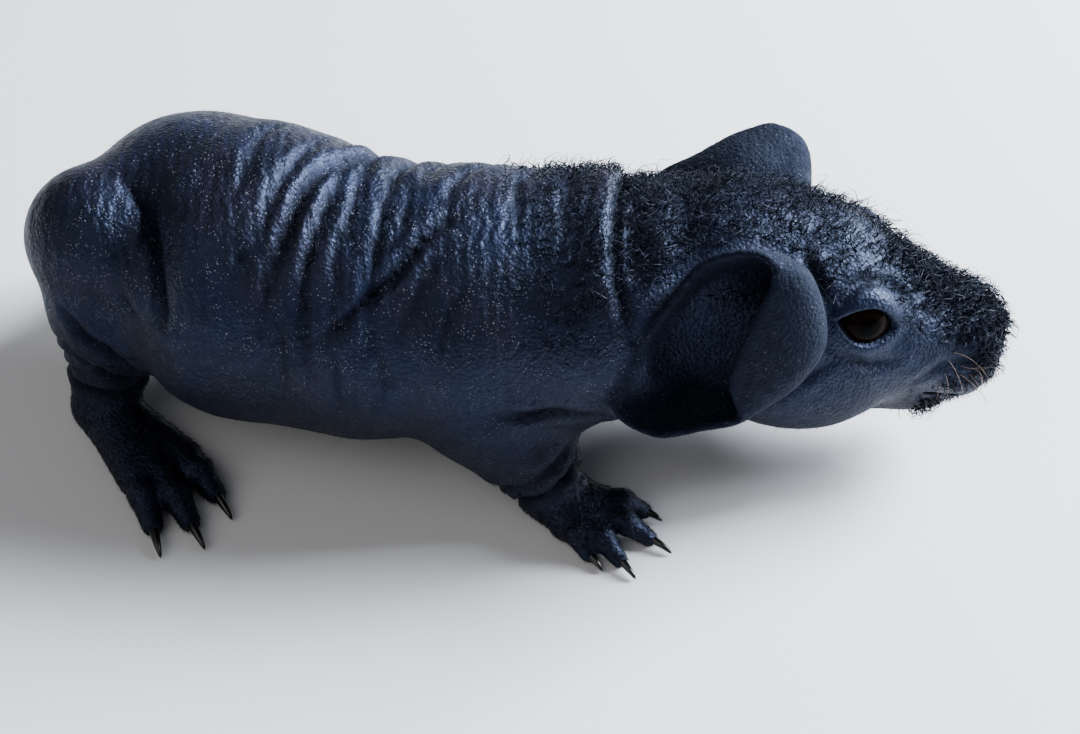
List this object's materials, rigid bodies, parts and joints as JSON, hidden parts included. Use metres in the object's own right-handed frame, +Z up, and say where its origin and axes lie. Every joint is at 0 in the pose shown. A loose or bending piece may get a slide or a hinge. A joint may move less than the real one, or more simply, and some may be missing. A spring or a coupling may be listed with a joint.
{
  "type": "skinny pig",
  "caption": "Young hairless guinea pig, black, standing still with its head stretched forward, large folded ears, curved claws and glossy dark eyes.",
  "frame": {"origin": "under the middle of the animal's bounding box, on the floor", "axes": "+X towards the nose, -Y to the animal's right side, +Z up"},
  "size_m": [0.1358, 0.0722, 0.0448],
  "materials": {
    "skin": "bare, finely wrinkled blue-black skin with a soft sheen",
    "head": "blue-black skin under short, sparse black fuzz",
    "ear": "thin, bare blue-black skin with a soft sheen",
    "foot": "black skin under short black hair",
    "claw": "glossy black horn",
    "eye": "wet, very dark brown eye"
  },
  "bodies": {
    "root": {"hindleg_right": "skin", "hindfoot_right": "foot", "claw_hindfoot_right_1": "claw", "claw_hindfoot_right_2": "claw", "claw_hindfoot_right_3": "claw", "hindleg_left": "skin", "hindfoot_left": "foot", "claw_hindfoot_left_1": "claw", "claw_hindfoot_left_2": "claw", "claw_hindfoot_left_3": "claw", "foreleg_right": "skin", "forefoot_right": "foot", "claw_forefoot_right_1": "claw", "claw_forefoot_right_2": "claw", "claw_forefoot_right_3": "claw", "claw_forefoot_right_4": "claw", "foreleg_left": "skin", "forefoot_left": "foot", "claw_forefoot_left_1": "claw", "claw_forefoot_left_2": "claw", "claw_forefoot_left_3": "claw", "claw_forefoot_left_4": "claw", "torso": "skin", "neck": "skin", "eye_right": "eye", "eye_left": "eye", "head": "head", "ear_right": "ear", "ear_left": "ear"}
  },
  "joints": []
}
